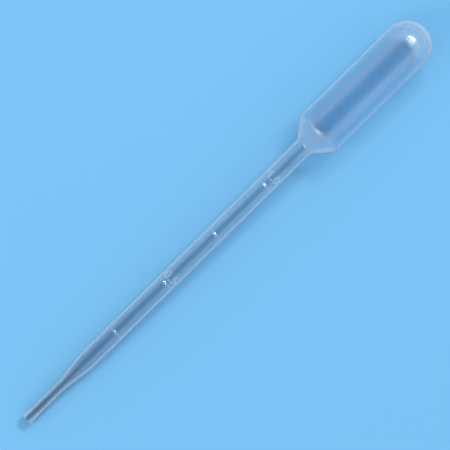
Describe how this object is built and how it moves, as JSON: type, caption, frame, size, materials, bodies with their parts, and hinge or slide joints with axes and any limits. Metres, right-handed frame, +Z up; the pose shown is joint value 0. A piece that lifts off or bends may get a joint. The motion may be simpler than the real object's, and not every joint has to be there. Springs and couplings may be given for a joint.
{
  "type": "dropper pipette",
  "caption": "Soft plastic dropper pipette with a drawn tip, a graduated stem and a squeeze bulb, moulded as a single thin wall, for drawing up and dropping small volumes of liquid.",
  "frame": {"origin": "on the surface that the pipette lies on, below the middle of its bounding box", "axes": "+X along the pipette from the mouth of the tip to the crown of the bulb, +Z up with the graduated side on top. The pipette lies at rest on its tip end and on the shoulder of its bulb, so its own axis rises 2.68 degrees towards the bulb."},
  "size_m": [0.15, 0.0136, 0.0151],
  "materials": {
    "ldpe": "natural low-density polyethylene, blow-moulded: milky and translucent, with a soft gloss"
  },
  "bodies": {
    "root": {"pipette": "ldpe"}
  },
  "joints": []
}
